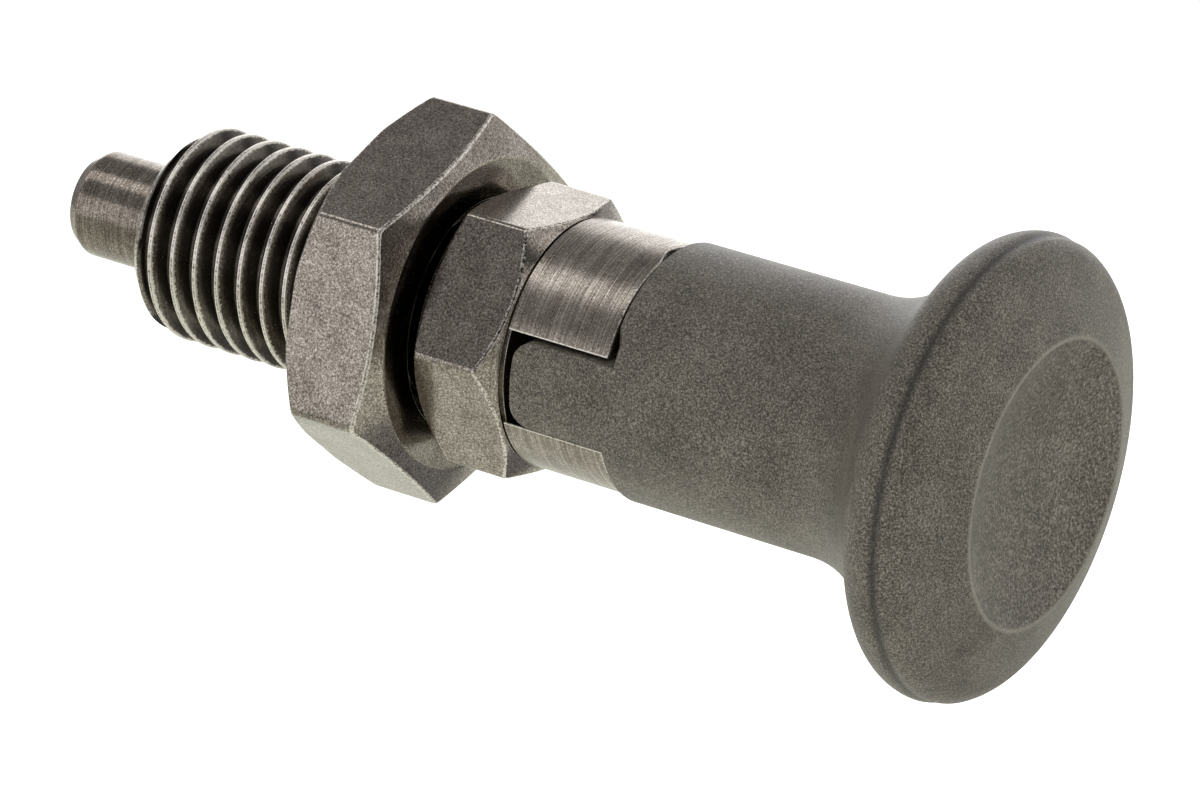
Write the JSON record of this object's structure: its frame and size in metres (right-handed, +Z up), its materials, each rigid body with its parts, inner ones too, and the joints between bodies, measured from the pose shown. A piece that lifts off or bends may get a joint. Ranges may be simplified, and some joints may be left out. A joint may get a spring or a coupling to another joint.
{
  "type": "indexing plunger",
  "caption": "Spring-loaded locking pin in a threaded body with a locknut, pulled back by a mushroom grip and parked by a quarter turn.",
  "frame": {"origin": "on the axis, on the front face of the body's hexagon, up to which the thread is screwed in", "axes": "+X along the axis from the locking pin to the grip, +Y along the slot across the collar, +Z up"},
  "size_m": [0.0609, 0.025, 0.025],
  "materials": {
    "body_steel": "black-oxidised turned steel",
    "nut_steel": "black-oxidised pressed and turned steel",
    "pin_steel": "black-oxidised ground steel",
    "spring_steel": "drawn spring wire",
    "grip_plastic": "matt spark-eroded moulding"
  },
  "bodies": {
    "body": {"threaded_body": "body_steel", "spring": "spring_steel"},
    "plunger": {"plunger_pin": "pin_steel", "mushroom_grip": "grip_plastic"},
    "locknut": {"locknut": "nut_steel"}
  },
  "joints": [
    {"name": "plunger_pull", "type": "slide", "parent": "body", "child": "plunger", "axis": [1, 0, 0], "range_m": [0, 0.0062], "stiffness_N_per_m": 1560, "springref_m": -0.0035, "deforming": ["spring"]},
    {"name": "locknut_turn", "type": "hinge", "parent": "body", "child": "locknut", "pos_m": [-0.0036, 0, 0], "axis": [1, 0, 0], "continuous": true}
  ]
}
